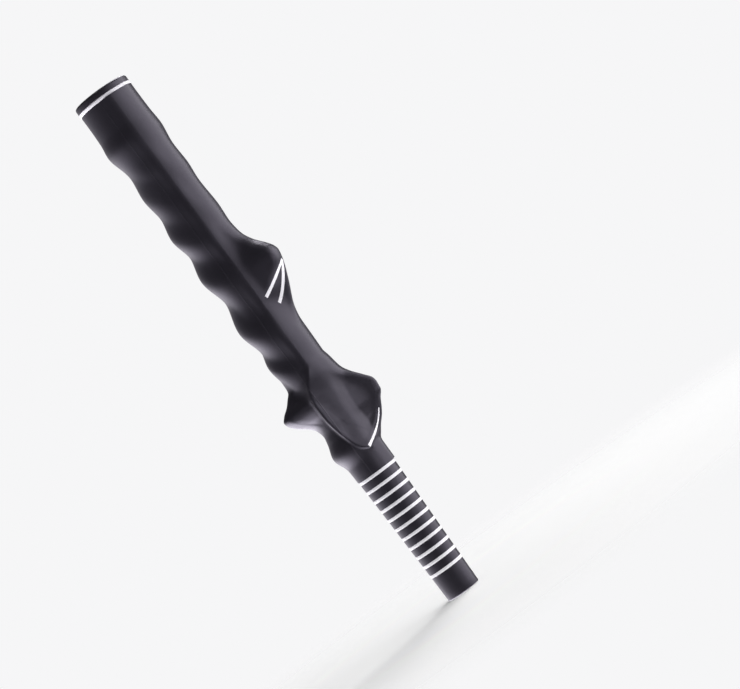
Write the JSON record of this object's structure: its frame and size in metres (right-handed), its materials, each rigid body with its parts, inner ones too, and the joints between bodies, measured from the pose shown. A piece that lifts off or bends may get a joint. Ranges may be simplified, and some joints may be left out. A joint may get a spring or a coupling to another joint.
{
  "type": "golf training grip",
  "caption": "Moulded rubber golf grip with sculpted finger grooves, a trigger hook and two thumb pads, ringed tip and capped butt.",
  "frame": {"origin": "centre of the mouth, where the shaft enters, on the bore axis", "axes": "+Z along the bore to the butt end, +X to the thumb side, -Y to the front that faces up in use"},
  "size_m": [0.0425, 0.0276, 0.267],
  "materials": {
    "sleeve_rubber": "satin moulded rubber",
    "cap_rubber": "satin moulded rubber",
    "paint_fill": "flexible matt white paint fill"
  },
  "bodies": {
    "root": {"thumb_side_half": "sleeve_rubber", "finger_side_half": "sleeve_rubber", "end_cap": "cap_rubber", "butt_ring": "paint_fill", "tip_ring_01": "paint_fill", "tip_ring_02": "paint_fill", "tip_ring_03": "paint_fill", "tip_ring_04": "paint_fill", "tip_ring_05": "paint_fill", "tip_ring_06": "paint_fill", "tip_ring_07": "paint_fill", "tip_ring_08": "paint_fill", "tip_ring_09": "paint_fill", "tip_ring_10": "paint_fill", "tip_ring_11": "paint_fill", "upper_v_mark": "paint_fill", "lower_mark_front": "paint_fill", "lower_mark_back": "paint_fill"}
  },
  "joints": []
}
